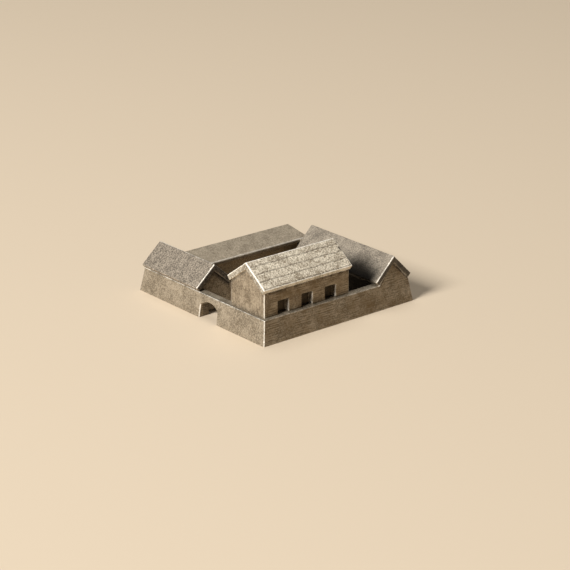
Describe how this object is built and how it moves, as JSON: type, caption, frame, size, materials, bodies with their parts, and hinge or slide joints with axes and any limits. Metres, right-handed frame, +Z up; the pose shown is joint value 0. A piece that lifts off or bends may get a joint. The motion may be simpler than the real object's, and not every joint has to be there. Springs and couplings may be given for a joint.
{
  "type": "game token",
  "caption": "Small antiqued-metal game token in the form of a walled farmstead: leaning enclosure wall with an arched gateway, house, barns and a low back range.",
  "frame": {"origin": "middle of the footprint, on the table", "axes": "+Z up; the front with the house's openings faces -Y; the gateway faces -X"},
  "size_m": [0.022, 0.0228, 0.0085],
  "materials": {
    "wall_metal": "antiqued, fine horizontal lines, bright worn edges",
    "house_metal": "antiqued, rubbed bright at the corners",
    "house_roof_metal": "antiqued, rubbed pale, grainy, in low courses",
    "barn_metal": "antiqued dark",
    "barn_roof_metal": "antiqued, grainy, bright worn edges"
  },
  "bodies": {
    "root": {"front_wall": "wall_metal", "gate_wall": "wall_metal", "right_wall": "wall_metal", "back_wall": "wall_metal", "house_walls": "house_metal", "house_roof": "house_roof_metal", "gate_barn_walls": "barn_metal", "gate_barn_roof": "barn_roof_metal", "side_barn_walls": "barn_metal", "side_barn_roof": "barn_roof_metal", "back_range_walls": "barn_metal", "back_range_roof": "barn_roof_metal"}
  },
  "joints": []
}
